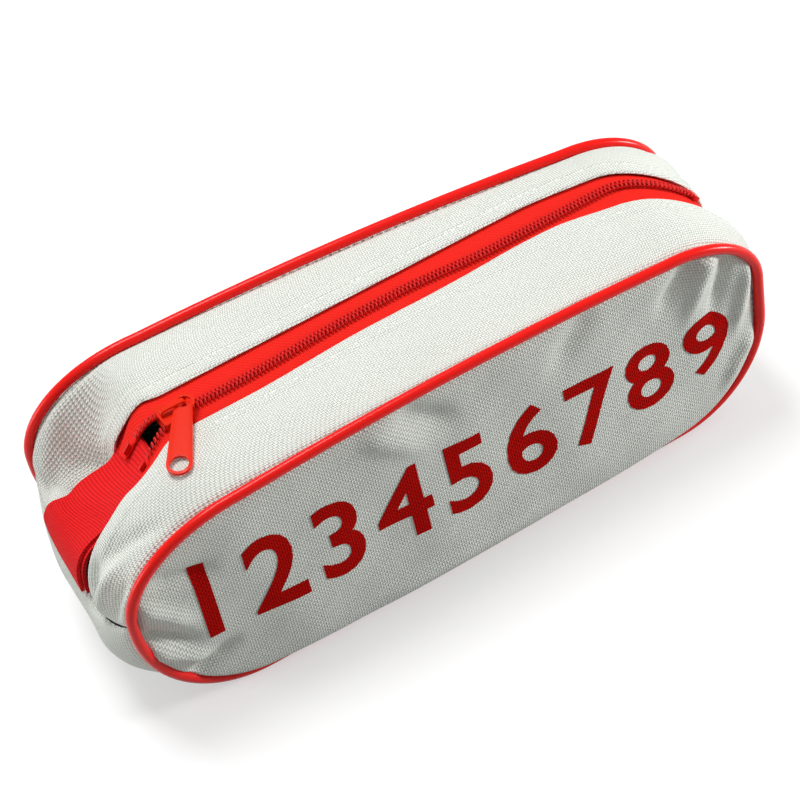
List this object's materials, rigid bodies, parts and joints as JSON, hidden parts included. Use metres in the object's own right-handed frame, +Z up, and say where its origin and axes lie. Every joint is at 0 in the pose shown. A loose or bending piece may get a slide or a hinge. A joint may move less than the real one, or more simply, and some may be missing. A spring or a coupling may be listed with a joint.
{
  "type": "rummy tile game in a zipped pouch",
  "caption": "Soft zipped pouch with piped edges and a webbing end strap, holding rummy tiles, nested racks and folded rules.",
  "frame": {"origin": "centre of the whole part's bounding box in plan, on the surface it rests on", "axes": "+X from the strap end to the far end, along the zip; -Y to the front panel; +Z up through the zip"},
  "size_m": [0.2794, 0.1014, 0.0981],
  "materials": {
    "shell": "plain woven cloth, light cool grey",
    "piping": "glossy red vinyl piping",
    "zip_tape": "woven red zip tape",
    "coil": "red nylon coil",
    "zip_metal": "red lacquered zinc",
    "webbing": "ribbed red webbing",
    "tile": "ivory moulded plastic",
    "rack": "green moulded plastic",
    "paper": "white uncoated paper"
  },
  "bodies": {
    "pouch": {"front_panel": "shell", "back_panel": "shell", "front_piping": "piping", "back_piping": "piping", "bottom_gusset": "shell", "front_strip_strap_end": "shell", "front_tape_strap_end": "zip_tape", "front_coil_strap_end": "coil", "front_strip_far_end": "shell", "front_tape_far_end": "zip_tape", "front_coil_far_end": "coil", "back_strip_strap_end": "shell", "back_tape_strap_end": "zip_tape", "back_coil_strap_end": "coil", "back_strip_far_end": "shell", "back_tape_far_end": "zip_tape", "back_coil_far_end": "coil", "front_top_stop": "zip_metal", "back_top_stop": "zip_metal", "bottom_stop": "zip_metal", "end_strap": "webbing", "tile_run_1": "tile", "tile_run_2": "tile", "tile_run_3": "tile", "tile_run_4": "tile", "tile_run_5": "tile", "tile_run_6": "tile", "tile_run_7": "tile", "tile_run_8": "tile", "joker_tile_1": "tile", "joker_tile_2": "tile", "rack_1": "rack", "rack_2": "rack", "rack_3": "rack", "rack_4": "rack", "rules_leaflet": "paper"},
    "zip_slider": {"zip_slider": "zip_metal"},
    "zip_pull": {"zip_pull": "zip_metal"},
    "front_flap": {"front_strip_flap": "shell", "front_tape_flap": "zip_tape", "front_coil_flap": "coil"},
    "back_flap": {"back_strip_flap": "shell", "back_tape_flap": "zip_tape", "back_coil_flap": "coil"}
  },
  "joints": [
    {"name": "slider_travel", "type": "slide", "parent": "pouch", "child": "zip_slider", "axis": [0.9989, 0.0471, 0], "range_m": [0, 0.175], "deforming": ["front_coil_strap_end", "front_coil_flap", "front_coil_far_end", "back_coil_strap_end", "back_coil_flap", "back_coil_far_end"]},
    {"name": "pull_swivel", "type": "hinge", "parent": "zip_slider", "child": "zip_pull", "pos_m": [-0.07997, 0.0017, 0.09564], "axis": [0, 0, 1], "range_deg": [-10, 210]},
    {"name": "mouth_front", "type": "hinge", "parent": "pouch", "child": "front_flap", "pos_m": [0.00374, -0.0369, 0.0935], "axis": [0.9989, 0.0471, 0], "range_deg": [0, 95]},
    {"name": "mouth_back", "type": "hinge", "parent": "pouch", "child": "back_flap", "pos_m": [0.00374, 0.03901, 0.0935], "axis": [-0.9989, 0.0471, 0], "range_deg": [0, 95]}
  ]
}
